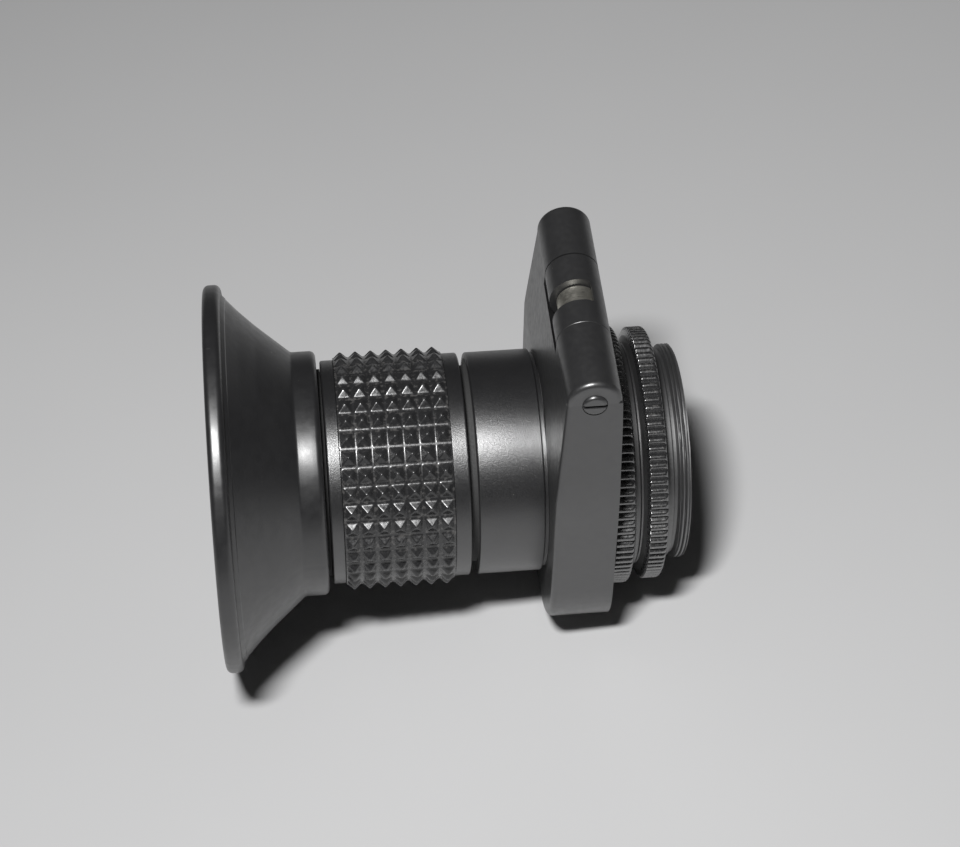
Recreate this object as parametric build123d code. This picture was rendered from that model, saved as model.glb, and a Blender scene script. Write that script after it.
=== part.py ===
from build123d import *
import os
from math import cos, pi, sin, sqrt

# Flip-up eyepiece magnifier with a screw-in camera mount.
# Frame: +X runs along the optical axis towards the camera, +Z up towards the hinge.
# The origin is on the axis, in the middle of the camera thread.
# A station is a distance along the optical axis from the front plane of the eyecup.

# ---- driving dimensions, in millimetres -------------------------------------------------

THREAD_RADIUS = 11.0
THREAD_PITCH = 0.4
THREAD_START = 45.84
THREAD_END = 47.12
ORIGIN_STATION = (THREAD_START + THREAD_END) / 2

FIT = 0.05          # radial clearance of a running fit
SEAT = 0.02         # clearance of two pieces screwed or pressed together

# eyecup
RIM_RADIUS = 19.75
RIM_THICKNESS = 1.75
CUP_COLLAR_RADIUS = 12.45
CUP_COLLAR_START = 8.4
CUP_END = 10.9
CUP_FLOOR = 7.95
CUP_FLOOR_RADIUS = 9.6

# lens cell, which slides in the barrel nose
FLANGE_START = 8.87
FLANGE_RADIUS = 10.93
CELL_RADIUS = 9.25
CELL_END = 24.3
EYE_LENS_RADIUS = 8.4
EYE_SHOULDER = 15.25

# focus ring and its grip
RING_START = 11.3
RING_END = 25.2
BAND_RADIUS = 11.38
GRIP_START = 12.6
GRIP_END = 23.6
STOP_SCREW_STATION = (GRIP_END + RING_END) / 2
GRIP_INNER_RADIUS = 10.95
GRIP_VALLEY_RADIUS = 11.58
GRIP_PEAK_RADIUS = 12.12
GRIP_COLUMNS = 7
GRIP_ROWS = 40

# barrel
NOSE_START = 13.2
NOSE_RADIUS = 10.05
BARREL_START = 25.98
BARREL_END = 32.5
BARREL_RADIUS = 11.35
SPIGOT_RADIUS = 10.6
SPIGOT_END = 35.5
GUIDE_SCREW_STATION = 19.0
GUIDE_SCREW_RADIUS = 0.7
FOCUS_TRAVEL = 3.5
OBJECTIVE_RADIUS = 8.75
OBJECTIVE_SHOULDER = 31.63

# swing housing
HOUSING_FRONT = 32.9
HOUSING_BACK = 39.1
HOUSING_FLOOR = 35.7
HOUSING_WALL = 1.1
HALF_WIDTH = 14.3
WAIST_Z = 9.1
BOTTOM_Z = -14.2
LOWER_CORNER = 9.6
WAIST_ROUNDING = 30.0
FRONT_ROUNDING = 0.6
AHEAD = 30.0          # stations clear of the block in front and behind, for cutting shapes
BEHIND = 41.0
REACH = 20.0          # half width and height of those shapes

# hinge
HINGE_STATION = 36.4
HINGE_Z = 20.8
KNUCKLE_RADIUS = 2.65
HINGE_HALF_LENGTH = 12.5
KNUCKLE_GAP = 0.1
KNUCKLE_EDGE = 0.55
INNER_KNUCKLES = ((-4.1, -1.05), (1.75, 5.4))
PIN_RADIUS = 0.9
PIN_HEAD_RADIUS = 1.2
SLEEVE_RADIUS = 1.95

# rear plate
PLATE_FRONT = 36.1
PLATE_GAP = 0.25
PLATE_TOP = 17.4
HINGE_CLEARANCE = 3.2
SADDLE_FRONT = 37.7
SADDLE_FLOOR_Z = 17.9

# mount sleeve
HUB_RADIUS = 9.5
HUB_START = 36.3
SLEEVE_RING_START = 39.3
SLEEVE_RING_END = 41.3
SLEEVE_RING_RADIUS = 13.25
SLEEVE_RIM_RADIUS = 11.45
SLEEVE_END = 42.0
SLEEVE_BORE_RADIUS = 8.85
KNURL_TEETH = 96
KNURL_DEPTH = 0.32

# adapter ring
ADAPTER_RING_START = 42.78
ADAPTER_RING_END = 44.55
ADAPTER_RING_RADIUS = 12.95
ADAPTER_NECK_RADIUS = 10.8
ADAPTER_NECK_END = 45.42
UNDERCUT_RADIUS = 10.45
ADAPTER_BORE_RADIUS = 7.8
EXIT_BORE_RADIUS = 9.2


# ---- helpers ----------------------------------------------------------------------------

def x_of(station):
    return station - ORIGIN_STATION


def outline_face(points, rounds):
    """Flat face inside a closed outline, with a rounding for each corner."""
    if any(rounds):
        return make_face(FilletPolyline(*points, radius=rounds, close=True))
    return make_face(Polyline(*points, close=True))


def turned(*outline):
    """Solid of revolution about the optical axis, from (station, radius, rounding) points."""
    points = [(x_of(corner[0]), corner[1]) for corner in outline]
    rounds = [corner[2] if len(corner) > 2 else 0 for corner in outline]
    return revolve(outline_face(points, rounds), Axis.X)


def tube(start, end, inner, outer, edge=0.0):
    """Plain ring between two stations, with its outer edges rounded."""
    return turned((start, inner), (start, outer, edge), (end, outer, edge), (end, inner))


def prism_x(outline, start, end):
    """Prism along the optical axis, from (y, z, rounding) points."""
    points = [(corner[0], corner[1]) for corner in outline]
    rounds = [corner[2] if len(corner) > 2 else 0 for corner in outline]
    section = Plane(origin=(x_of(start), 0, 0), x_dir=(0, 1, 0), z_dir=(1, 0, 0))
    return extrude(section * outline_face(points, rounds), end - start)


def prism_y(outline, start, end):
    """Prism along the hinge direction, from (station, z, rounding) points."""
    points = [(x_of(corner[0]), corner[1]) for corner in outline]
    rounds = [corner[2] if len(corner) > 2 else 0 for corner in outline]
    section = Plane(origin=(0, start, 0), x_dir=(1, 0, 0), z_dir=(0, -1, 0))
    return extrude(section * outline_face(points, rounds), start - end)


def rod_y(radius, start, end, edge=0.0):
    """Rod about the hinge axis, from one y to another, with rounded ends."""
    length = end - start
    rod = Cylinder(radius, length)
    if edge > 0:
        rod = fillet(rod.edges().filter_by(GeomType.CIRCLE), edge)
    middle = (x_of(HINGE_STATION), (start + end) / 2, HINGE_Z)
    return Pos(*middle) * Rot(90, 0, 0) * rod


def rod_radial(radius, station, start, end, angle):
    """Rod along a radius of the optical axis, at an angle from +Z."""
    rod = Pos(0, 0, (start + end) / 2) * Cylinder(radius, end - start)
    return Pos(x_of(station), 0, 0) * Rot(angle, 0, 0) * rod


def toothed(start, end, root, tip, teeth, tip_share):
    """Prism whose section is a ring of blunt teeth; tip_share is the tip's share of the pitch."""
    pitch = 2 * pi / teeth
    points = []
    for tooth in range(teeth):
        centre = tooth * pitch
        for share, radius in ((-0.47, root), (-tip_share / 2, tip), (tip_share / 2, tip), (0.47, root)):
            angle = centre + share * pitch
            points.append((radius * sin(angle), radius * cos(angle)))
    return prism_x(points, start, end)


def sag(curvature_radius, radius):
    """Depth of a spherical surface at a distance from the axis; negative curves the other way."""
    depth = abs(curvature_radius) - sqrt(curvature_radius ** 2 - radius ** 2)
    return depth if curvature_radius > 0 else -depth


def lens(front, thickness, radius, front_curve, back_curve):
    """Lens with its front vertex at a station; a positive curve bulges towards the eye."""
    back = front + thickness
    half = radius / 2
    front_edge = front + sag(front_curve, radius)
    back_edge = back + sag(back_curve, radius)
    outline = [
        ThreePointArc(
            (x_of(front), 0),
            (x_of(front + sag(front_curve, half)), half),
            (x_of(front_edge), radius),
        ),
        Line((x_of(front_edge), radius), (x_of(back_edge), radius)),
        ThreePointArc(
            (x_of(back_edge), radius),
            (x_of(back + sag(back_curve, half)), half),
            (x_of(back), 0),
        ),
        Line((x_of(back), 0), (x_of(front), 0)),
    ]
    return revolve(make_face(outline), Axis.X)


# ---- eyecup and eye lens ----------------------------------------------------------------

def eyecup():
    return turned(
        (0.0, 18.0, 0.7),
        (0.0, RIM_RADIUS, 0.8),
        (RIM_THICKNESS, RIM_RADIUS, 0.8),
        (RIM_THICKNESS + 0.05, 18.6, 0.15),
        (5.0, 15.35, 30.0),
        (CUP_COLLAR_START, CUP_COLLAR_RADIUS, 0.5),
        (CUP_END, CUP_COLLAR_RADIUS, 0.5),
        (CUP_END, FLANGE_RADIUS + SEAT),
        (10.33, FLANGE_RADIUS + SEAT),
        (10.15, 10.58),
        (9.75, 10.58),
        (9.57, FLANGE_RADIUS + SEAT),
        (FLANGE_START - SEAT, FLANGE_RADIUS + SEAT),
        (FLANGE_START - SEAT, CUP_FLOOR_RADIUS),
        (CUP_FLOOR, CUP_FLOOR_RADIUS, 0.25),
        (CUP_FLOOR, 11.0, 0.6),
        (5.0, 13.55, 20.0),
        (1.9, 16.75, 1.5),
    )


def lens_cell():
    cell = turned(
        (FLANGE_START, EYE_LENS_RADIUS + FIT),
        (FLANGE_START, FLANGE_RADIUS, 0.2),
        (9.52, FLANGE_RADIUS),
        (9.72, 10.5),
        (10.18, 10.5),
        (10.38, FLANGE_RADIUS),
        (CUP_END - FIT, FLANGE_RADIUS, 0.1),
        (CUP_END - FIT, CELL_RADIUS),
        (CELL_END, CELL_RADIUS, 0.2),
        (CELL_END, 8.35),
        (17.2, 8.35),
        (16.4, 7.7),
        (EYE_SHOULDER, 7.7),
        (EYE_SHOULDER, EYE_LENS_RADIUS + FIT),
    )
    half_width = GUIDE_SCREW_RADIUS + FIT
    slot_start = GUIDE_SCREW_STATION - half_width
    slot_end = GUIDE_SCREW_STATION + FOCUS_TRAVEL + half_width
    slot = Box(slot_end - slot_start, 3 * CELL_RADIUS, 2 * half_width)
    return cell - Pos(x_of((slot_start + slot_end) / 2), 0, 0) * slot


def eye_front_lens():
    return lens(10.95, 0.95, EYE_LENS_RADIUS, -40.0, 30.0)


def eye_rear_lens():
    return lens(12.9, 2.2, EYE_LENS_RADIUS, 35.0, 400.0)


def lens_spacer():
    return tube(13.14, 13.7, 7.6, EYE_LENS_RADIUS)


def eye_retaining_ring():
    ring = turned(
        (8.95, 7.95, 0.1),
        (8.95, EYE_LENS_RADIUS + 0.03, 0.1),
        (9.98, EYE_LENS_RADIUS + 0.03),
        (9.98, 7.35),
        (9.6, 7.35),
    )
    notches = Pos(x_of(8.95), 0, 0) * Box(1.0, 20.0, 0.9)
    return ring - notches


def ring_retainer():
    ring = tube(12.06, 12.6, CELL_RADIUS + SEAT, 10.2, 0.08)
    gap = Pos(x_of(12.3), 0, -9.7) * Box(2.0, 1.2, 2.0)
    return ring - gap


# ---- focus ring -------------------------------------------------------------------------

def focus_ring():
    ring = turned(
        (RING_START, CELL_RADIUS + 0.07),
        (RING_START, BAND_RADIUS, 0.2),
        (GRIP_START, BAND_RADIUS, 0.08),
        (GRIP_START, GRIP_INNER_RADIUS),
        (GRIP_END, GRIP_INNER_RADIUS),
        (GRIP_END, BAND_RADIUS, 0.08),
        (RING_END, BAND_RADIUS, 0.2),
        (RING_END, NOSE_RADIUS + 0.07),
        (13.0, NOSE_RADIUS + 0.07),
        (12.75, 10.35),
        (12.0, 10.35),
        (12.0, CELL_RADIUS + 0.07),
    )
    return ring - rod_radial(0.52, STOP_SCREW_STATION, 9.0, 12.5, 180)


def focus_grip():
    pitch = (GRIP_END - GRIP_START) / GRIP_COLUMNS
    outline = [(GRIP_START + SEAT, GRIP_INNER_RADIUS + SEAT)]
    for column in range(GRIP_COLUMNS):
        start = GRIP_START + column * pitch
        outline += [
            (start + 0.03 * pitch, GRIP_VALLEY_RADIUS),
            (start + 0.44 * pitch, GRIP_PEAK_RADIUS),
            (start + 0.56 * pitch, GRIP_PEAK_RADIUS),
            (start + 0.97 * pitch, GRIP_VALLEY_RADIUS),
        ]
    outline.append((GRIP_END - SEAT, GRIP_INNER_RADIUS + SEAT))
    rows = toothed(GRIP_START, GRIP_END, GRIP_VALLEY_RADIUS, GRIP_PEAK_RADIUS, GRIP_ROWS, 0.11)
    return turned(*outline) & rows


def focus_stop_screw():
    screw = rod_radial(0.5, STOP_SCREW_STATION, 10.2, 11.33, 180)
    slot = Pos(x_of(STOP_SCREW_STATION), 0, -11.33) * Box(2.0, 0.2, 0.5)
    return screw - slot


# ---- barrel and objective ---------------------------------------------------------------

def main_barrel():
    barrel = turned(
        (NOSE_START, CELL_RADIUS + FIT),
        (NOSE_START, NOSE_RADIUS, 0.2),
        (BARREL_START, NOSE_RADIUS),
        (BARREL_START, BARREL_RADIUS, 0.22),
        (BARREL_END, BARREL_RADIUS, 0.15),
        (BARREL_END, 10.95),
        (HOUSING_FRONT - 0.03, 10.95),
        (HOUSING_FRONT - 0.03, SPIGOT_RADIUS),
        (SPIGOT_END, SPIGOT_RADIUS),
        (SPIGOT_END, OBJECTIVE_RADIUS + FIT),
        (OBJECTIVE_SHOULDER, OBJECTIVE_RADIUS + FIT),
        (OBJECTIVE_SHOULDER, 8.1),
        (27.1, 8.1),
        (27.1, CELL_RADIUS + FIT),
    )
    groove_pitch = 0.9
    groove_count = int((RING_END - NOSE_START) / groove_pitch) - 1
    for index in range(groove_count):
        station = NOSE_START + 0.8 + index * groove_pitch
        barrel -= turned((station, NOSE_RADIUS - 0.25), (station, 10.5), (station + 0.4, 10.5),
                         (station + 0.4, NOSE_RADIUS - 0.25))
    for angle in (90, 270):
        barrel -= rod_radial(GUIDE_SCREW_RADIUS + SEAT, GUIDE_SCREW_STATION, 8.0, 11.0, angle)
    return barrel


def guide_screws():
    screws = []
    for angle in (90, 270):
        screw = rod_radial(GUIDE_SCREW_RADIUS, GUIDE_SCREW_STATION, 8.5, 9.75, angle)
        screws.append(screw)
    return Compound(children=[Solid(screw.solid().wrapped) for screw in screws])


def barrel_baffle():
    return turned((26.45, 7.2), (26.45, CELL_RADIUS), (27.05, CELL_RADIUS), (27.05, 7.0))


def barrel_lock_ring():
    ring = tube(34.62, 35.45, SPIGOT_RADIUS + SEAT, 11.8, 0.1)
    notches = Pos(x_of(35.45), 0, 0) * Box(0.7, 30.0, 1.1)
    return ring - notches


def objective_crown_lens():
    return lens(31.1, 2.4, OBJECTIVE_RADIUS, 60.0, -45.0)


def objective_flint_lens():
    return lens(33.53, 0.9, OBJECTIVE_RADIUS, -45.0, -300.0)


def objective_retaining_ring():
    ring = turned((34.4, 7.7), (34.4, OBJECTIVE_RADIUS + 0.03), (35.1, OBJECTIVE_RADIUS + 0.03),
                  (35.1, 8.1))
    notches = Pos(x_of(35.1), 0, 0) * Box(0.6, 20.0, 0.9)
    return ring - notches


# ---- swing housing and hinge ------------------------------------------------------------

def block_outline(inset, top):
    """Front view of the block, inset all round, as (y, z, rounding) points up to a height."""
    lean = (HALF_WIDTH - HINGE_HALF_LENGTH) / (HINGE_Z - WAIST_Z)
    half_top = HINGE_HALF_LENGTH - lean * (top - HINGE_Z) - inset * sqrt(1 + lean ** 2)
    right = [
        (HALF_WIDTH - inset, BOTTOM_Z + inset, LOWER_CORNER - inset),
        (HALF_WIDTH - inset, WAIST_Z, WAIST_ROUNDING),
        (half_top, top),
    ]
    left = [(-corner[0], *corner[1:]) for corner in reversed(right)]
    return right + left


def swing_housing():
    hinge_back = HINGE_STATION + KNUCKLE_RADIUS
    side = [
        (HOUSING_FRONT, BOTTOM_Z),
        (HOUSING_FRONT, WAIST_Z, 5.0),
        (HINGE_STATION - KNUCKLE_RADIUS + 0.03, HINGE_Z),
        (hinge_back, HINGE_Z),
        (HOUSING_BACK, HINGE_Z - KNUCKLE_RADIUS),
        (HOUSING_BACK, BOTTOM_Z, 0.25),
    ]
    block = prism_y(side, -REACH, REACH) & prism_x(block_outline(0, HINGE_Z), AHEAD, BEHIND)
    front_edges = [edge for edge in block.edges() if edge.center().X < x_of(HOUSING_FRONT) + 0.2
                   and edge.center().Z < WAIST_Z + 1]
    block = fillet(front_edges, FRONT_ROUNDING)
    roof = HINGE_Z - KNUCKLE_RADIUS + 0.05
    roof_back = HINGE_Z - sqrt(HINGE_CLEARANCE ** 2 - KNUCKLE_RADIUS ** 2) + 0.1
    cavity_side = [
        (HOUSING_FLOOR, -REACH),
        (HOUSING_FLOOR, roof),
        (HINGE_STATION + 1.8, roof),
        (hinge_back, roof_back),
        (BEHIND, roof_back),
        (BEHIND, -REACH),
    ]
    cavity = prism_y(cavity_side, -REACH, REACH)
    cavity &= prism_x(block_outline(HOUSING_WALL, HINGE_Z), HOUSING_FLOOR, BEHIND)
    housing = block - cavity
    slot_start = INNER_KNUCKLES[0][0] - KNUCKLE_GAP
    slot_end = INNER_KNUCKLES[1][1] + KNUCKLE_GAP
    housing += rod_y(KNUCKLE_RADIUS, -HINGE_HALF_LENGTH, HINGE_HALF_LENGTH, KNUCKLE_EDGE)
    housing -= rod_y(KNUCKLE_RADIUS + 0.35, slot_start, slot_end)
    slot = [(HOUSING_FLOOR + 0.1, PLATE_TOP - 1), (HOUSING_FLOOR + 0.1, HINGE_Z), (BEHIND, HINGE_Z),
            (BEHIND, PLATE_TOP - 1)]
    housing -= prism_y(slot, slot_start, slot_end)
    housing -= rod_y(PIN_RADIUS + SEAT, -REACH, REACH)
    housing -= rod_y(PIN_HEAD_RADIUS + SEAT, -REACH, -HINGE_HALF_LENGTH + 0.5)
    housing -= turned((AHEAD, 0), (AHEAD, SPIGOT_RADIUS + SEAT), (BEHIND, SPIGOT_RADIUS + SEAT),
                      (BEHIND, 0))
    housing -= turned((34.6, 0), (34.6, 11.85), (BEHIND, 11.85), (BEHIND, 0))
    return housing


def hinge_pin():
    pin = rod_y(PIN_RADIUS, -HINGE_HALF_LENGTH + 0.2, HINGE_HALF_LENGTH - 0.3, 0.1)
    dome = rod_y(PIN_HEAD_RADIUS, -HINGE_HALF_LENGTH - 0.3, -HINGE_HALF_LENGTH + 0.48, 0.35)
    slot = Pos(x_of(HINGE_STATION), -HINGE_HALF_LENGTH - 0.3, HINGE_Z) * Box(4.0, 0.7, 0.35)
    return pin + dome - slot


def hinge_sleeve():
    start = INNER_KNUCKLES[0][1] + KNUCKLE_GAP
    end = INNER_KNUCKLES[1][0] - KNUCKLE_GAP
    return rod_y(SLEEVE_RADIUS, start, end, 0.12) - rod_y(PIN_RADIUS + FIT, -REACH, REACH)


def rear_plate():
    inset = HOUSING_WALL + PLATE_GAP
    body_side = [
        (PLATE_FRONT, -REACH),
        (PLATE_FRONT, PLATE_TOP),
        (HOUSING_BACK, PLATE_TOP),
        (HOUSING_BACK, -REACH),
    ]
    plate = prism_y(body_side, -REACH, REACH) & prism_x(block_outline(inset, HINGE_Z), AHEAD, BEHIND)
    hinge_back = HINGE_STATION + KNUCKLE_RADIUS
    root = [
        (PLATE_FRONT, PLATE_TOP - 1),
        (PLATE_FRONT, HINGE_Z - KNUCKLE_RADIUS + 0.15),
        (HINGE_STATION, HINGE_Z),
        (hinge_back, HINGE_Z),
        (HOUSING_BACK, PLATE_TOP - 1),
    ]
    start, end = INNER_KNUCKLES[0][0], INNER_KNUCKLES[1][1]
    plate += prism_y(root, start, end)
    plate += rod_y(KNUCKLE_RADIUS, start, end, 0.12)
    saddle_start, saddle_end = INNER_KNUCKLES[0][1], INNER_KNUCKLES[1][0]
    plate -= rod_y(SLEEVE_RADIUS + 0.12, saddle_start, saddle_end)
    over_hinge = HINGE_Z + HINGE_CLEARANCE
    opening = [
        (AHEAD, SADDLE_FLOOR_Z),
        (AHEAD, over_hinge),
        (SADDLE_FRONT, over_hinge),
        (SADDLE_FRONT, SADDLE_FLOOR_Z),
    ]
    plate -= prism_y(opening, saddle_start, saddle_end)
    plate -= rod_y(PIN_RADIUS + FIT, -REACH, REACH)
    plate -= turned((AHEAD, 0), (AHEAD, HUB_RADIUS + FIT), (BEHIND, HUB_RADIUS + FIT), (BEHIND, 0))
    plate -= turned((AHEAD, 0), (AHEAD, 11.0), (36.98, 11.0), (36.98, 0))
    plate -= tube(AHEAD, 36.45, 11.3, 12.3)
    plate -= tube(38.5, BEHIND, 9.0, 11.6)
    return plate


def light_seal():
    return tube(35.85, 36.43, 11.33, 12.27, 0.1)


def wave_washer():
    return tube(38.55, 39.0, 9.75, 11.4, 0.05)


# ---- camera mount -----------------------------------------------------------------------

def mount_sleeve():
    sleeve = turned(
        (HUB_START, 8.0),
        (HUB_START, HUB_RADIUS, 0.1),
        (36.42, HUB_RADIUS),
        (36.42, 9.2),
        (36.97, 9.2),
        (36.97, HUB_RADIUS),
        (SLEEVE_RING_START, HUB_RADIUS),
        (SLEEVE_RING_START, SLEEVE_RING_RADIUS, 0.12),
        (SLEEVE_RING_END, SLEEVE_RING_RADIUS, 0.55),
        (SLEEVE_RING_END, SLEEVE_RIM_RADIUS),
        (SLEEVE_END, SLEEVE_RIM_RADIUS, 0.1),
        (SLEEVE_END, SLEEVE_BORE_RADIUS),
        (38.7, SLEEVE_BORE_RADIUS),
        (38.7, 8.0),
    )
    teeth = toothed(HUB_START - 1, SLEEVE_END + 1, SLEEVE_RING_RADIUS - KNURL_DEPTH, SLEEVE_RING_RADIUS,
                    KNURL_TEETH, 0.34)
    return sleeve & teeth


def sleeve_retaining_ring():
    ring = tube(36.44, 36.93, 9.22, 10.6, 0.08)
    gap = Pos(x_of(36.7), 0, -10.0) * Box(2.0, 1.6, 3.0)
    return ring - gap


def adapter_ring():
    outline = [
        (38.8, ADAPTER_BORE_RADIUS),
        (38.8, SLEEVE_BORE_RADIUS - FIT, 0.2),
        (42.06, SLEEVE_BORE_RADIUS - FIT),
        (42.06, 11.3, 0.05),
        (42.25, 11.3),
        (ADAPTER_RING_START, ADAPTER_RING_RADIUS, 0.1),
        (ADAPTER_RING_END, ADAPTER_RING_RADIUS, 0.45),
        (ADAPTER_RING_END, ADAPTER_NECK_RADIUS),
        (ADAPTER_NECK_END, ADAPTER_NECK_RADIUS, 0.08),
        (ADAPTER_NECK_END, UNDERCUT_RADIUS),
        (THREAD_START, UNDERCUT_RADIUS),
    ]
    root = THREAD_RADIUS - 0.6 * THREAD_PITCH
    crests = int((THREAD_END - THREAD_START) / THREAD_PITCH)
    for crest in range(crests):
        start = THREAD_START + 0.05 + crest * THREAD_PITCH
        outline += [
            (start, root),
            (start + 0.11, THREAD_RADIUS),
            (start + 0.27, THREAD_RADIUS),
            (start + 0.38, root),
        ]
    outline += [
        (THREAD_END, root),
        (THREAD_END, EXIT_BORE_RADIUS, 0.1),
        (44.0, EXIT_BORE_RADIUS),
        (43.4, ADAPTER_BORE_RADIUS),
    ]
    teeth = toothed(38.0, 48.0, ADAPTER_RING_RADIUS - KNURL_DEPTH, ADAPTER_RING_RADIUS, KNURL_TEETH, 0.34)
    return turned(*outline) & teeth


NODES = [
    eyecup, lens_cell, eye_front_lens, eye_rear_lens, lens_spacer, eye_retaining_ring, ring_retainer,
    focus_ring, focus_grip, focus_stop_screw,
    main_barrel, guide_screws, barrel_baffle, barrel_lock_ring,
    objective_crown_lens, objective_flint_lens, objective_retaining_ring,
    swing_housing, hinge_pin, hinge_sleeve, rear_plate, light_seal, wave_washer,
    mount_sleeve, sleeve_retaining_ring, adapter_ring,
]

os.makedirs("parts", exist_ok=True)
for node in NODES:
    export_step(node(), f"parts/{node.__name__}.step")
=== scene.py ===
from math import atan2, ceil, cos, hypot, pi, radians, sin, tan

import bpy
import numpy as np
from mathutils import Matrix, Vector


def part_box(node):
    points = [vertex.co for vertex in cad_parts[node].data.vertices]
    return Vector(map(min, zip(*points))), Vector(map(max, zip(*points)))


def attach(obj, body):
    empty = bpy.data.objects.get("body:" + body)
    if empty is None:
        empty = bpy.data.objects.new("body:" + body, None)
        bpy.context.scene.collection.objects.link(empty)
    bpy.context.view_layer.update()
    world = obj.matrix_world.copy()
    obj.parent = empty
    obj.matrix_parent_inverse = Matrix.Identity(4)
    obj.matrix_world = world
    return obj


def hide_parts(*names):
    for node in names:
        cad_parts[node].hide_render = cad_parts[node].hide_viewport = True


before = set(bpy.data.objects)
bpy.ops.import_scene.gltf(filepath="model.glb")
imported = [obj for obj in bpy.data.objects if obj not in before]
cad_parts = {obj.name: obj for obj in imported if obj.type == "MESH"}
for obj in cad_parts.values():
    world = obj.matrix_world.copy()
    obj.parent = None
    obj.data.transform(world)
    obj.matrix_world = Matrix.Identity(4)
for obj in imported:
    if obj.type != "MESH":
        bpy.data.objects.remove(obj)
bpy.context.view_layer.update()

# Flip-up eyepiece magnifier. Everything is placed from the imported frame, in metres.
# A station is a distance in millimetres along the optical axis from the eyecup's front plane.

MM = 0.001
SHARP_ANGLE = radians(40)
STRAIGHT = pi / 2 - 1e-4
EYE_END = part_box("eyecup")[0].x


def x_of(station):
    return EYE_END + station * MM


def station_of(x):
    return (x - EYE_END) / MM


def span(node):
    """First station, last station and outer radius of a turned CAD node, in millimetres."""
    low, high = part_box(node)
    return station_of(low.x), station_of(high.x), high.y / MM


# ---- turned shapes ----------------------------------------------------------------------

def rounded(outline, steps=6):
    """Closed outline of (station, radius, rounding) corners as points, each rounding as an arc."""
    points = []
    count = len(outline)
    for index, corner in enumerate(outline):
        here = np.array(corner[:2], float)
        radius = corner[2] if len(corner) > 2 else 0.0
        back = np.array(outline[index - 1][:2], float) - here
        ahead = np.array(outline[(index + 1) % count][:2], float) - here
        back /= np.linalg.norm(back)
        ahead /= np.linalg.norm(ahead)
        half_turn = np.arccos(np.clip(np.dot(back, ahead), -1, 1)) / 2
        if radius <= 0 or half_turn > STRAIGHT:
            points.append(tuple(here))
            continue
        centre = here + (back + ahead) / np.linalg.norm(back + ahead) * radius / sin(half_turn)
        start = here + back * radius / tan(half_turn) - centre
        end = here + ahead * radius / tan(half_turn) - centre
        first = atan2(start[1], start[0])
        turn = (atan2(end[1], end[0]) - first + pi) % (2 * pi) - pi
        for step in range(steps + 1):
            angle = first + turn * step / steps
            points.append((centre[0] + radius * cos(angle), centre[1] + radius * sin(angle)))
    return points


def refined(points, longest, low=-1e9, high=1e9):
    """The same closed outline, with no step longer than a length between two stations."""
    result = []
    for index, point in enumerate(points):
        following = points[(index + 1) % len(points)]
        result.append(point)
        length = hypot(following[0] - point[0], following[1] - point[1])
        middle = (point[0] + following[0]) / 2
        if low <= middle <= high and length > longest:
            pieces = ceil(length / longest)
            for piece in range(1, pieces):
                share = piece / pieces
                result.append((
                    point[0] + (following[0] - point[0]) * share,
                    point[1] + (following[1] - point[1]) * share,
                ))
    return result


def lathe(name, points, segments, shape=None):
    """Closed surface of revolution; shape(station, radius, angle) may change the radius.

    station and radius are columns, angle is a row, and angle 0 points up."""
    profile = np.array(points, float)
    station, radius = profile[:, :1], profile[:, 1:2]
    angle = np.arange(segments)[None, :] * 2 * pi / segments
    surface = radius + 0 * angle if shape is None else shape(station, radius, angle)
    co = np.stack([
        np.broadcast_to(x_of(station), surface.shape),
        surface * np.sin(angle) * MM,
        surface * np.cos(angle) * MM,
    ], axis=-1).reshape(-1, 3)
    rings = len(profile)
    row = np.arange(rings)[:, None]
    column = np.arange(segments)[None, :]
    next_row = (row + 1) % rings
    next_column = (column + 1) % segments
    quads = np.stack([
        row * segments + column,
        row * segments + next_column,
        next_row * segments + next_column,
        next_row * segments + column,
    ], axis=-1).reshape(-1, 4)
    area = sum(a[0] * b[1] - b[0] * a[1] for a, b in zip(points, points[1:] + points[:1]))
    if area > 0:
        quads = quads[:, ::-1]
    mesh = bpy.data.meshes.new(name)
    mesh.from_pydata(co.tolist(), [], quads.tolist())
    mesh.shade_smooth()
    mesh.set_sharp_from_angle(angle=SHARP_ANGLE)
    piece = bpy.data.objects.new(name, mesh)
    bpy.context.scene.collection.objects.link(piece)
    return piece


def smooth_min(a, b, width):
    """The smaller of two values, with the crease between them rounded over a width."""
    share = np.clip(0.5 + 0.5 * (b - a) / width, 0, 1)
    return b + (a - b) * share - width * share * (1 - share)


def triangle(phase):
    """1 in the middle of each period and 0 at its ends."""
    return 1 - np.abs(2 * (phase - np.floor(phase)) - 1)


# ---- materials --------------------------------------------------------------------------

METAL_DUST = (0.35, 0.34, 0.32)
RUBBER_DUST = (0.30, 0.29, 0.27)
# Painted shade: flat black colours painted into the slit and the deep gaps, nearer the axis than
# these radii.
PAINTED_SHADE_BLACK = (0.004, 0.004, 0.004)
METAL_PAINTED_SHADE_BLACK = (0.005, 0.005, 0.005)
RUBBER_GAP_RADIUS = 11.0
METAL_GAP_RADIUS = 10.5


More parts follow.
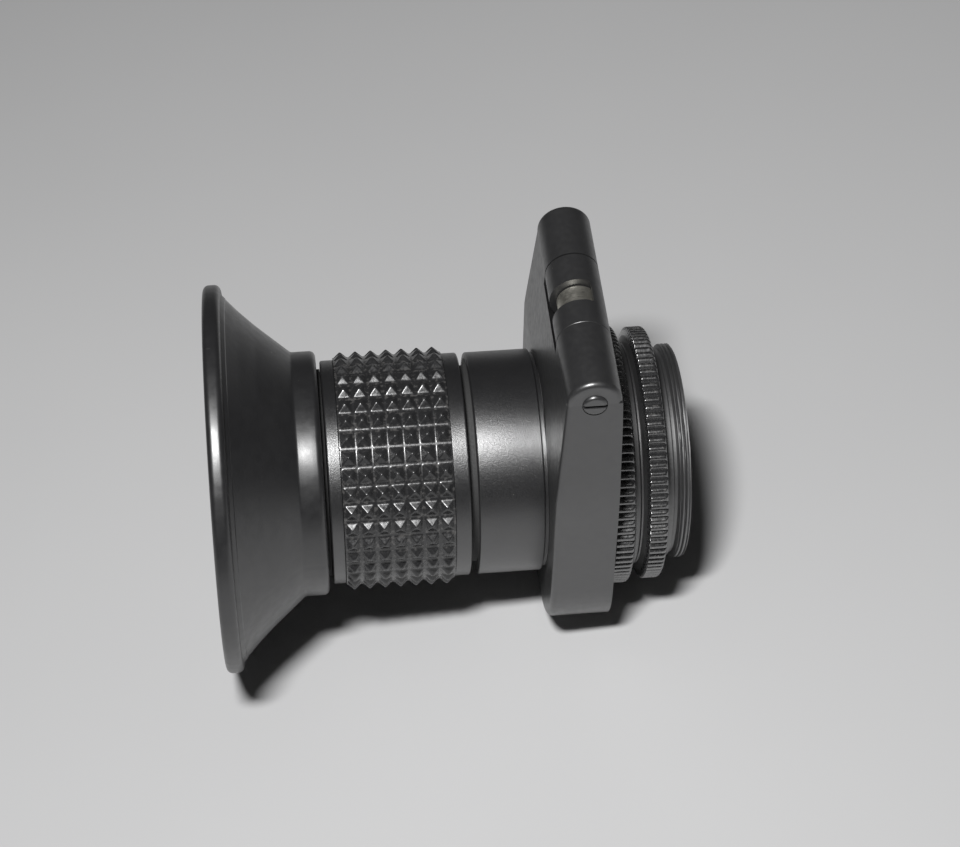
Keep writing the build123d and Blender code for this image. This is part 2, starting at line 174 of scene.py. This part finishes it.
class Shade:
    """A node material with one Principled shader, and short names for the nodes that feed it."""

    def __init__(self, name, **sockets):
        self.material = bpy.data.materials.new(name)
        self.material.use_nodes = True
        self.tree = self.material.node_tree
        self.shader = self.tree.nodes["Principled BSDF"]
        for socket, value in sockets.items():
            self.shader.inputs[socket.replace("_", " ")].default_value = value
        self.place = self.node("ShaderNodeTexCoord").outputs["Object"]
        self.mm = self.vector("SCALE", self.place, scale=1 / MM)

    def node(self, kind, **settings):
        made = self.tree.nodes.new(kind)
        for key, value in settings.items():
            setattr(made, key, value)
        return made

    def link(self, source, target):
        self.tree.links.new(source, target)

    def feed(self, target, value):
        if isinstance(value, bpy.types.NodeSocket):
            self.link(value, target)
        else:
            target.default_value = value

    def vector(self, operation, first, second=None, scale=None):
        made = self.node("ShaderNodeVectorMath", operation=operation)
        self.feed(made.inputs[0], first)
        if second is not None:
            self.feed(made.inputs[1], second)
        if scale is not None:
            made.inputs["Scale"].default_value = scale
        return made.outputs["Value" if operation == "LENGTH" else "Vector"]

    def math(self, operation, first, second=0.0):
        made = self.node("ShaderNodeMath", operation=operation)
        self.feed(made.inputs[0], first)
        self.feed(made.inputs[1], second)
        return made.outputs[0]

    def noise(self, per_mm, detail=2.0, stretch=(1, 1, 1), roughness=0.5):
        made = self.node("ShaderNodeTexNoise")
        place = self.vector("MULTIPLY", self.mm, stretch)
        self.link(place, made.inputs["Vector"])
        made.inputs["Scale"].default_value = per_mm
        made.inputs["Detail"].default_value = detail
        made.inputs["Roughness"].default_value = roughness
        return made.outputs["Fac"]

    def cells(self, per_mm):
        made = self.node("ShaderNodeTexVoronoi", feature="F1")
        self.link(self.mm, made.inputs["Vector"])
        made.inputs["Scale"].default_value = per_mm
        return made.outputs["Distance"]

    def ramp(self, value, low, high, to_low=0.0, to_high=1.0):
        made = self.node("ShaderNodeMapRange", interpolation_type="SMOOTHSTEP")
        self.feed(made.inputs["Value"], value)
        made.inputs["From Min"].default_value = low
        made.inputs["From Max"].default_value = high
        made.inputs["To Min"].default_value = to_low
        made.inputs["To Max"].default_value = to_high
        return made.outputs["Result"]

    def blend(self, share, first, second):
        made = self.node("ShaderNodeMix", data_type="RGBA")
        self.feed(made.inputs[0], share)
        for socket, value in zip((made.inputs[6], made.inputs[7]), (first, second)):
            self.feed(socket, value if isinstance(value, bpy.types.NodeSocket) else (*value, 1.0))
        return made.outputs[2]

    def from_axis(self):
        """Distance from the optical axis, in millimetres."""
        return self.vector("LENGTH", self.vector("MULTIPLY", self.mm, (0, 1, 1)))

    def colour(self, value):
        self.link(value, self.shader.inputs["Base Color"])

    def roughness(self, value):
        self.link(value, self.shader.inputs["Roughness"])

    def metal(self, value):
        self.link(value, self.shader.inputs["Metallic"])

    def bump(self, *layers):
        """Layers of (height, depth in millimetres), one on top of the other."""
        normal = None
        for height, depth in layers:
            made = self.node("ShaderNodeBump")
            made.inputs["Distance"].default_value = depth * MM
            self.link(height, made.inputs["Height"])
            if normal is not None:
                self.link(normal, made.inputs["Normal"])
            normal = made.outputs["Normal"]
        self.link(normal, self.shader.inputs["Normal"])

    def dust(self, per_mm, share):
        """1 on a few small specks of dust."""
        spot = self.ramp(self.cells(per_mm), 0.06, 0.10, 1.0, 0.0)
        rare = self.ramp(self.noise(0.9 * per_mm, 0.0), 1 - share, 1.02 - share)
        return self.math("MULTIPLY", spot, rare)

    def within(self, radius, edge):
        """1 nearer the optical axis than a radius, fading to 0 over an edge."""
        return self.ramp(self.from_axis(), radius, radius + edge, 1.0, 0.0)

    def more(self, value, share, amount):
        """A value, with an amount added where the share is 1."""
        return self.math("ADD", value, self.math("MULTIPLY", share, amount))


def rubber_material():
    """Satin moulded rubber, a little scuffed; in the slit before the ring and inside the cup it is
    rougher, with its colour painted shade black.
    """
    shade = Shade("moulded_rubber", Specular_IOR_Level=1.0, IOR=1.56,
                  Sheen_Weight=0.05, Sheen_Roughness=0.35)
    mottle = shade.noise(0.35, 3.0)
    body = shade.blend(mottle, (0.015, 0.015, 0.016), (0.021, 0.021, 0.022))
    scratch = shade.noise(1.1, 5.0, (0.5, 1.6, 1.6), 0.7)
    worn = shade.math("MULTIPLY", shade.ramp(scratch, 0.64, 0.72), 0.25)
    scuffed = shade.blend(worn, body, (0.060, 0.059, 0.058))
    outside = shade.blend(shade.dust(1.3, 0.26), scuffed, RUBBER_DUST)
    # Painted shade: nearer the axis than the gap radius, the colour is blended to flat black where
    # shade falls in the slit.
    painted_shade_gap = shade.within(RUBBER_GAP_RADIUS, 0.3)
    shade.colour(shade.blend(painted_shade_gap, outside, PAINTED_SHADE_BLACK))
    polish = shade.ramp(shade.noise(1.0, 4.0), 0.3, 0.7, 0.33, 0.40)
    matt = shade.math("MAXIMUM", worn, painted_shade_gap)
    shade.roughness(shade.more(polish, matt, 0.5))
    shade.bump((shade.noise(11.0, 3.0), 0.005), (mottle, 0.015))
    return shade.material


def anodised_material():
    """Bead-blasted black: highlights break up into fine sparkle; deep gaps are rougher and their
    colour is painted shade black.
    """
    shade = Shade("anodised_metal", Metallic=0.12, Specular_IOR_Level=1.0, IOR=1.75)
    tone = shade.noise(0.5, 3.0)
    body = shade.blend(tone, (0.014, 0.014, 0.015), (0.022, 0.022, 0.023))
    outside = shade.blend(shade.dust(2.2, 0.22), body, METAL_DUST)
    # Painted shade: nearer the axis than the gap radius, the colour is blended to flat black where
    # shade falls in the gap.
    painted_shade_gap = shade.within(METAL_GAP_RADIUS, 0.4)
    shade.colour(shade.blend(painted_shade_gap, outside, METAL_PAINTED_SHADE_BLACK))
    blasted = shade.ramp(shade.noise(6.0, 3.0), 0.3, 0.7, 0.30, 0.38)
    shade.roughness(shade.more(blasted, painted_shade_gap, 0.45))
    shade.bump((shade.noise(9.0, 4.0, roughness=0.7), 0.022), (shade.noise(0.9, 2.0), 0.01))
    return shade.material


def block_material():
    """Smooth dark finish of the block, its rear plate and the hinge pin."""
    shade = Shade("block_finish", Metallic=0.1, Specular_IOR_Level=1.0, IOR=1.7)
    tone = shade.noise(0.25, 4.0)
    body = shade.blend(tone, (0.027, 0.027, 0.028), (0.036, 0.036, 0.037))
    shade.colour(shade.blend(shade.dust(1.5, 0.22), body, METAL_DUST))
    shade.roughness(shade.ramp(shade.noise(1.5, 5.0), 0.25, 0.75, 0.30, 0.40))
    shade.bump((shade.noise(5.0, 3.0), 0.004), (shade.noise(0.5, 2.0), 0.02))
    return shade.material


def grip_material(valley, peak):
    """Hard rubber with chalky dirt in the valleys and rubbed tips."""
    shade = Shade("hard_rubber_grip", Metallic=0.0, Specular_IOR_Level=0.75, IOR=1.55)
    height = shade.ramp(shade.from_axis(), valley, peak)
    tone = shade.noise(0.8, 3.0)
    body = shade.blend(tone, (0.018, 0.018, 0.019), (0.030, 0.030, 0.031))
    patches = shade.ramp(shade.noise(2.5, 3.0), 0.5, 0.68)
    chalk = shade.math("MULTIPLY", shade.ramp(height, 0.25, 0.0), patches)
    dirty = shade.blend(shade.math("MULTIPLY", chalk, 0.5), body, (0.16, 0.155, 0.15))
    worn_spots = shade.ramp(shade.noise(3.0, 3.0), 0.45, 0.62)
    rub = shade.math("MULTIPLY", shade.ramp(height, 0.80, 0.98), worn_spots)
    shade.colour(shade.blend(shade.math("MULTIPLY", rub, 0.4), dirty, (0.13, 0.13, 0.13)))
    shade.roughness(shade.ramp(shade.noise(4.0, 4.0), 0.3, 0.7, 0.22, 0.36))
    shade.bump((shade.noise(9.0, 3.0), 0.004), (shade.noise(1.6, 3.0), 0.02))
    return shade.material


def knurl_material(name, tip):
    """Black metal, worn bright in spots at the knurl's tips and duller on the plain part."""
    shade = Shade(name, Metallic=0.1, Specular_IOR_Level=1.0, IOR=2.0)
    tone = shade.noise(0.8, 3.0)
    body = shade.blend(tone, (0.014, 0.014, 0.015), (0.024, 0.024, 0.025))
    edge = shade.ramp(shade.from_axis(), tip - 0.16, tip - 0.02)
    spots = shade.ramp(shade.noise(4.2, 5.0, roughness=0.75), 0.55, 0.67)
    wear = shade.math("MULTIPLY", edge, spots)
    shade.colour(shade.blend(wear, body, (0.50, 0.49, 0.47)))
    shade.metal(shade.math("MULTIPLY", wear, 0.9))
    plain = shade.within(tip - 0.95, 0.2)
    polish = shade.ramp(shade.noise(5.0, 4.0), 0.3, 0.7, 0.22, 0.30)
    shade.roughness(shade.more(polish, plain, 0.21))
    shade.bump((shade.noise(8.0, 4.0), 0.003), (shade.noise(2.0, 3.0), 0.006))
    return shade.material


def steel_material():
    shade = Shade("polished_steel", Metallic=1.0)
    streak = shade.noise(2.0, 3.0, (1.0, 6.0, 1.0))
    shade.colour(shade.blend(streak, (0.60, 0.58, 0.51), (0.80, 0.78, 0.71)))
    shade.roughness(shade.ramp(streak, 0.3, 0.7, 0.42, 0.52))
    shade.bump((streak, 0.002), (shade.noise(3.0, 2.0), 0.003))
    return shade.material


def inner_material():
    """Flat black of the parts around the lenses."""
    shade = Shade("flat_black", Specular_IOR_Level=0.4)
    tone = shade.noise(1.5, 4.0)
    shade.colour(shade.blend(tone, (0.008, 0.008, 0.009), (0.016, 0.016, 0.017)))
    shade.roughness(shade.ramp(tone, 0.3, 0.7, 0.45, 0.65))
    shade.bump((shade.noise(9.0, 4.0), 0.008))
    return shade.material


def felt_material():
    shade = Shade("black_felt", Roughness=0.95, Sheen_Weight=0.5)
    fibre = shade.noise(14.0, 5.0, (1.0, 3.0, 1.0), 0.7)
    shade.colour(shade.blend(fibre, (0.006, 0.006, 0.006), (0.030, 0.030, 0.030)))
    shade.bump((fibre, 0.05))
    return shade.material


def glass_material():
    shade = Shade("coated_glass", Transmission_Weight=1.0, IOR=1.52,
                  Coat_Weight=0.3, Coat_Roughness=0.02)
    film = shade.noise(0.2, 2.0)
    shade.colour(shade.blend(film, (0.93, 0.96, 1.0), (0.99, 0.97, 0.93)))
    shade.roughness(shade.ramp(shade.noise(0.7, 5.0), 0.55, 0.75, 0.01, 0.05))
    return shade.material


def table_material():
    shade = Shade("pale_table", Roughness=0.45, Specular_IOR_Level=0.3)
    tone = shade.noise(0.01, 3.0)
    shade.colour(shade.blend(tone, (0.637, 0.637, 0.642), (0.695, 0.695, 0.697)))
    shade.roughness(shade.ramp(shade.noise(0.03, 4.0), 0.3, 0.7, 0.40, 0.55))
    return shade.material


def paint(node, material):
    """A CAD node gets one material."""
    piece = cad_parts[node]
    piece.data.materials.clear()
    piece.data.materials.append(material)


def finish_piece(piece, material, body, node):
    """A detailed piece moves with a body and stands in for one of its CAD nodes."""
    piece.data.materials.append(material)
    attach(piece, body)
    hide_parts(node)


# ---- eyecup -----------------------------------------------------------------------------

RIM_RADIUS = span("eyecup")[2]
CUP_END = span("eyecup")[1]
CUP_SEGMENTS = 288
COLLAR_RADIUS = 12.44
COLLAR_BORE = 10.96
LIP_TOP = 10.55
LIP_BORE = 10.3
LIP_LENGTH = 0.33
LENS_SEAT_RADIUS = 9.62
STIFF_STATION = 8.0


def eyecup(material):
    """Flared cup with a rim bead, a step behind it, a collar, and a lip that closes the slit."""
    outline = [
        (0.03, 18.05, 0.65),
        (0.03, RIM_RADIUS - 0.02, 0.58),
        (1.74, RIM_RADIUS - 0.02, 0.62),
        (1.79, 18.72, 0.10),
        (2.16, 18.33, 0.08),
        (2.24, 18.16, 0.10),
        (3.4, 16.90, 12.0),
        (5.0, 15.36, 12.0),
        (6.8, 13.82, 12.0),
        (8.42, COLLAR_RADIUS, 0.45),
        (CUP_END - 0.01, COLLAR_RADIUS, 0.6),
        # The lip fills the slit before the ring; the rubber material paints it black as painted
        # shade.
        (CUP_END - 0.01, LIP_TOP),
        (CUP_END + LIP_LENGTH, LIP_TOP),
        (CUP_END + LIP_LENGTH, LIP_BORE),
        (CUP_END - 0.03, LIP_BORE),
        (CUP_END - 0.03, COLLAR_BORE),
        (8.86, COLLAR_BORE),
        (8.86, LENS_SEAT_RADIUS),
        (7.96, LENS_SEAT_RADIUS, 0.25),
        (7.96, 11.0, 0.6),
        (5.0, 13.56, 20.0),
        (1.9, 16.76, 1.5),
    ]
    points = refined(rounded(outline, 8), 0.45)

    def shape(station, radius, angle):
        """Never quite round: the thin rim waves a little, and the mould left a faint seam."""
        freedom = np.clip((STIFF_STATION - station) / STIFF_STATION, 0, 1) ** 2
        wave = 0.035 * np.sin(2 * angle + 0.7) + 0.02 * np.sin(5 * angle + 2.1)
        seam = -0.02 * np.exp(-((np.abs(angle - pi) - pi / 2) / 0.008) ** 2)
        return radius + freedom * (wave - 0.05) + seam * (radius > 12)

    piece = lathe("eyecup_rubber", points, CUP_SEGMENTS, shape)
    finish_piece(piece, material, "eyepiece", "eyecup")


# ---- grip sleeve ------------------------------------------------------------------------

GRIP_START, GRIP_END, GRIP_PEAK = span("focus_grip")
GRIP_DEPTH = 0.54
GRIP_VALLEY = GRIP_PEAK - GRIP_DEPTH
GRIP_WALL = 0.6
GRIP_COLUMNS = 7
GRIP_ROWS = 40
CELL_STEPS = 20
VALLEY_ROUNDING = 0.16      # these four are shares of a pyramid's height or pitch
FLAT_ACROSS = 0.07
FLAT_AROUND = 0.12
FLOOR = 0.06


def grip(material):
    length = GRIP_END - GRIP_START
    pitch = length / GRIP_COLUMNS
    steps = GRIP_COLUMNS * CELL_STEPS
    top = [(GRIP_START + length * step / steps, GRIP_PEAK) for step in range(steps + 1)]
    inner = GRIP_VALLEY - GRIP_WALL
    points = top + [(GRIP_END, inner), (GRIP_START, inner)]

    def shape(station, radius, angle):
        """Square pyramids with small blunt tips and flat valleys between them."""
        across = triangle((station - GRIP_START) / pitch) - FLAT_ACROSS
        around = triangle(angle * GRIP_ROWS / (2 * pi) + 0.5) - FLAT_AROUND
        height = smooth_min(across / (1 - FLAT_ACROSS), around / (1 - FLAT_AROUND), 0.03)
        height = -smooth_min(-height / (1 - FLOOR), np.full_like(height, -FLOOR), VALLEY_ROUNDING)
        height = (height - FLOOR - VALLEY_ROUNDING / 8) / (1 - FLOOR - VALLEY_ROUNDING / 8)
        height = smooth_min(height, np.ones_like(height), 0.12)
        pyramid = GRIP_VALLEY + GRIP_DEPTH * np.clip(height, 0, 1)
        return np.where(radius > GRIP_VALLEY, pyramid, radius)

    piece = lathe("grip_sleeve", points, GRIP_ROWS * CELL_STEPS, shape)
    finish_piece(piece, material, "dioptre_ring", "focus_grip")


# ---- barrel -----------------------------------------------------------------------------

NOSE_START, SPIGOT_END, BARREL_RADIUS = span("main_barrel")
NOSE_RADIUS = 10.05
BARREL_START = 25.98
BARREL_END = 32.5
BARREL_BORE = 9.3
SPIGOT_RADIUS = 10.95
SPIGOT_TIP_RADIUS = 10.6
SPIGOT_BORE = 8.8
STOP_BORE = 8.1
THREAD_LEAD_IN = 0.4
THREAD_RUNOUT = 23.8
RUNOUT_LENGTH = 0.8
LEAD = 4.2
STARTS = 6
GROOVE_DEPTH = 0.22


def barrel(material):
    """Nose with the lead thread, the wide visible part, and the spigot in the block."""
    outline = [
        (NOSE_START, BARREL_BORE, 0.1),
        (NOSE_START, NOSE_RADIUS, 0.2),
        (BARREL_START, NOSE_RADIUS),
        (BARREL_START, BARREL_RADIUS, 0.22),
        (BARREL_END, BARREL_RADIUS, 0.16),
        (BARREL_END, SPIGOT_RADIUS),
        (BARREL_END + 0.37, SPIGOT_RADIUS),
        (BARREL_END + 0.37, SPIGOT_TIP_RADIUS),
        (SPIGOT_END, SPIGOT_TIP_RADIUS),
        (SPIGOT_END, SPIGOT_BORE),
        (31.63, SPIGOT_BORE),
        (31.63, STOP_BORE),
        (27.1, STOP_BORE),
        (27.1, BARREL_BORE),
    ]
    points = refined(rounded(outline, 6), 0.1, NOSE_START, BARREL_START)

    def shape(station, radius, angle):
        """The nose carries a coarse thread with several starts, which fades towards its end."""
        on_nose = (radius > NOSE_RADIUS - 0.15) & (radius < NOSE_RADIUS + 0.01)
        on_nose &= (station > NOSE_START + THREAD_LEAD_IN) & (station < THREAD_RUNOUT)
        phase = STARTS * ((station - NOSE_START) / LEAD - angle / (2 * pi))
        groove = np.clip(1.6 - 3.2 * triangle(phase), 0, 1)
        fade = np.clip((THREAD_RUNOUT - station) / RUNOUT_LENGTH, 0, 1)
        return radius - on_nose * GROOVE_DEPTH * groove * fade

    piece = lathe("barrel_tube", points, 360, shape)
    finish_piece(piece, material, "swing", "main_barrel")


# ---- knurled rings ----------------------------------------------------------------------

KNURL_TEETH = 96
KNURL_DEPTH = 0.32
TOOTH_STEPS = 8
TOOTH_GAP = 0.06            # share of the pitch
TOOTH_FLANK = 0.55          # share of the pitch
FLANGE_RADIUS = 11.45


def knurled(tip):
    """Limits a radius to a ring of blunt teeth."""
    def limit(radius, angle):
        tooth = triangle(angle * KNURL_TEETH / (2 * pi) + 0.5)
        flank = np.clip((tooth - TOOTH_GAP) / TOOTH_FLANK, 0, None)
        height = smooth_min(flank, np.ones_like(tooth), 0.25)
        edge = tip - KNURL_DEPTH + KNURL_DEPTH * np.clip(height, 0, 1)
        return np.where(radius > tip - KNURL_DEPTH, smooth_min(radius, edge, 0.05), radius)
    return limit


def sleeve_ring(material):
    """Sleeve in the rear plate, with a knurled ring and a plain bevelled flange."""
    start, end, tip = span("mount_sleeve")
    outline = [
        (start, 8.0, 0.05),
        (start, 9.5, 0.1),
        (39.3, 9.5),
        (39.3, tip, 0.14),
        (41.3, tip, 0.55),
        (41.3, FLANGE_RADIUS, 0.08),
        (end, FLANGE_RADIUS, 0.12),
        (end, 8.85, 0.1),
        (38.7, 8.85),
        (38.7, 8.0),
    ]
    points = refined(rounded(outline, 7), 0.25, 39.0, 41.5)
    teeth = knurled(tip)
    piece = lathe("knurled_sleeve", points, KNURL_TEETH * TOOTH_STEPS,
                  lambda station, radius, angle: teeth(radius + 0 * angle, angle))
    finish_piece(piece, material, "screw_sleeve", "mount_sleeve")


THREAD_RADIUS = 11.0
THREAD_PITCH = 0.4
THREAD_DEPTH = 0.6 * THREAD_PITCH
THREAD_START = 45.84
NECK_RADIUS = 10.8
NECK_END = 45.42
UNDERCUT_RADIUS = 10.45


def adapter(material):
    """Knurled ring, smooth neck, undercut and the thread that screws into the camera."""
    start, end, tip = span("adapter_ring")
    root = THREAD_RADIUS - THREAD_DEPTH
    outline = [
        (start, 7.8, 0.05),
        (start, 8.8, 0.2),
        (42.06, 8.8),
        (42.06, 11.3, 0.05),
        (42.25, 11.3),
        (42.78, tip, 0.12),
        (44.55, tip, 0.45),
        (44.55, NECK_RADIUS, 0.1),
        (NECK_END, NECK_RADIUS, 0.1),
        (NECK_END, UNDERCUT_RADIUS, 0.05),
        (THREAD_START - 0.05, UNDERCUT_RADIUS),
        (THREAD_START + 0.15, THREAD_RADIUS),
        (end - 0.12, THREAD_RADIUS),
        (end, root, 0.05),
        (end, 9.2, 0.1),
        (44.0, 9.2),
        (43.4, 7.8),
    ]
    points = rounded(outline, 7)
    points = refined(points, 0.04, THREAD_START - 0.15, end + 0.01)
    points = refined(points, 0.25, 42.2, 44.6)
    teeth = knurled(tip)

    def shape(station, radius, angle):
        """Knurl on the ring, and a fine helical thread on the end."""
        threaded = (station > THREAD_START) & (radius > root) & (radius < THREAD_RADIUS + 0.01)
        wave = triangle((station - THREAD_START) / THREAD_PITCH - angle / (2 * pi))
        cut = THREAD_DEPTH * np.clip(1.15 - 1.9 * wave, 0, 1)
        fade = np.clip((station - THREAD_START) / 0.25, 0, 1)
        turned = np.where(threaded, np.maximum(radius - cut * fade, root), radius)
        return teeth(turned + 0 * angle, angle)

    piece = lathe("threaded_adapter", points, KNURL_TEETH * TOOTH_STEPS, shape)
    finish_piece(piece, material, "adapter", "adapter_ring")


# ---- build ------------------------------------------------------------------------------

rubber = rubber_material()
anodised = anodised_material()
block = block_material()
grip_rubber = grip_material(GRIP_VALLEY, GRIP_PEAK)
steel = steel_material()
flat_black = inner_material()
glass = glass_material()
felt = felt_material()

CAD_FINISH = {
    "focus_ring": anodised, "swing_housing": block, "rear_plate": block,
    "hinge_pin": block, "hinge_sleeve": steel, "wave_washer": steel, "guide_screws": steel,
    "focus_stop_screw": steel, "sleeve_retaining_ring": steel, "ring_retainer": steel,
    "lens_cell": flat_black, "lens_spacer": flat_black, "eye_retaining_ring": flat_black,
    "barrel_baffle": flat_black, "barrel_lock_ring": flat_black,
    "objective_retaining_ring": flat_black,
    "eye_front_lens": glass, "eye_rear_lens": glass, "objective_crown_lens": glass,
    "objective_flint_lens": glass, "light_seal": felt,
}
for node, material in CAD_FINISH.items():
    paint(node, material)

eyecup(rubber)
grip(grip_rubber)
barrel(anodised)
sleeve_ring(knurl_material("worn_sleeve", span("mount_sleeve")[2]))
adapter(knurl_material("worn_adapter", span("adapter_ring")[2]))


# ---- table ------------------------------------------------------------------------------

RIM_CONTACT = 0.85
FOOT_INSET = 0.2
TABLE_HALF = 2.0
TABLE_GAP = 0.00002


def table():
    """The object lies on its eyecup's rim and on the block's rear lower edge."""
    foot_low, foot_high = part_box("swing_housing")
    foot_station = station_of(foot_high.x) - FOOT_INSET
    slope = atan2(foot_low.z / MM + RIM_RADIUS, foot_station - RIM_CONTACT)
    mesh = bpy.data.meshes.new("table_top")
    corners = [(x * TABLE_HALF, y * TABLE_HALF, 0) for x, y in ((-1, -1), (1, -1), (1, 1), (-1, 1))]
    mesh.from_pydata(corners, [], [(0, 1, 2, 3)])
    top = bpy.data.objects.new("table_top", mesh)
    bpy.context.scene.collection.objects.link(top)
    top.rotation_euler = (0, -slope, 0)
    top.location = (x_of(foot_station), 0, foot_low.z - TABLE_GAP)
    mesh.materials.append(table_material())


# ---- light and camera -------------------------------------------------------------------

KEY_WIDTH = 0.066
KEY_HEIGHT = 0.032
KEY_POWER = 0.91
ROOM_STRENGTH = 0.022
FOCAL_LENGTH = 93.0
CAMERA_TILT = radians(3.65)


def aim(thing, place, target, tilt=0.0):
    """Puts a light or camera at a place, looking at a target.

    tilt is the angle by which the optical axis climbs to the right, seen from there."""
    forward = (target - place).normalized()
    back = -forward
    axis = Vector((1, 0, 0))
    level = (axis - axis.dot(forward) * forward).normalized()
    across = back.cross(level)
    right = level * cos(tilt) - across * sin(tilt)
    up = level * sin(tilt) + across * cos(tilt)
    turn = Matrix((right, up, back)).transposed()
    thing.matrix_world = Matrix.Translation(place) @ turn.to_4x4()


def at(station, y, z):
    """A place given by its station and two distances from the axis, in millimetres."""
    return Vector((x_of(station), y * MM, z * MM))


def lamp(name, place, target, width, height, power):
    """Soft elliptical light, wide along the object's axis."""
    data = bpy.data.lights.new(name, "AREA")
    data.shape = "ELLIPSE"
    data.size = width
    data.size_y = height
    data.energy = power
    light = bpy.data.objects.new(name, data)
    bpy.context.scene.collection.objects.link(light)
    aim(light, place, target)


def camera():
    data = bpy.data.cameras.new("camera")
    data.sensor_width = 36.0
    data.lens = FOCAL_LENGTH
    data.clip_start = 0.01
    view = bpy.data.objects.new("camera", data)
    bpy.context.scene.collection.objects.link(view)
    aim(view, at(8.7, -169.6, 188.4), at(27.3, 2.9, 2.7), CAMERA_TILT)
    bpy.context.scene.camera = view


def room():
    world = bpy.data.worlds.new("room")
    world.use_nodes = True
    background = world.node_tree.nodes["Background"]
    background.inputs["Color"].default_value = (1, 1, 1, 1)
    background.inputs["Strength"].default_value = ROOM_STRENGTH
    bpy.context.scene.world = world
    bpy.context.scene.view_settings.view_transform = "Standard"


table()
lamp("key", at(-36, -116, 272), at(22, 0, 0), KEY_WIDTH, KEY_HEIGHT, KEY_POWER)
camera()
room()
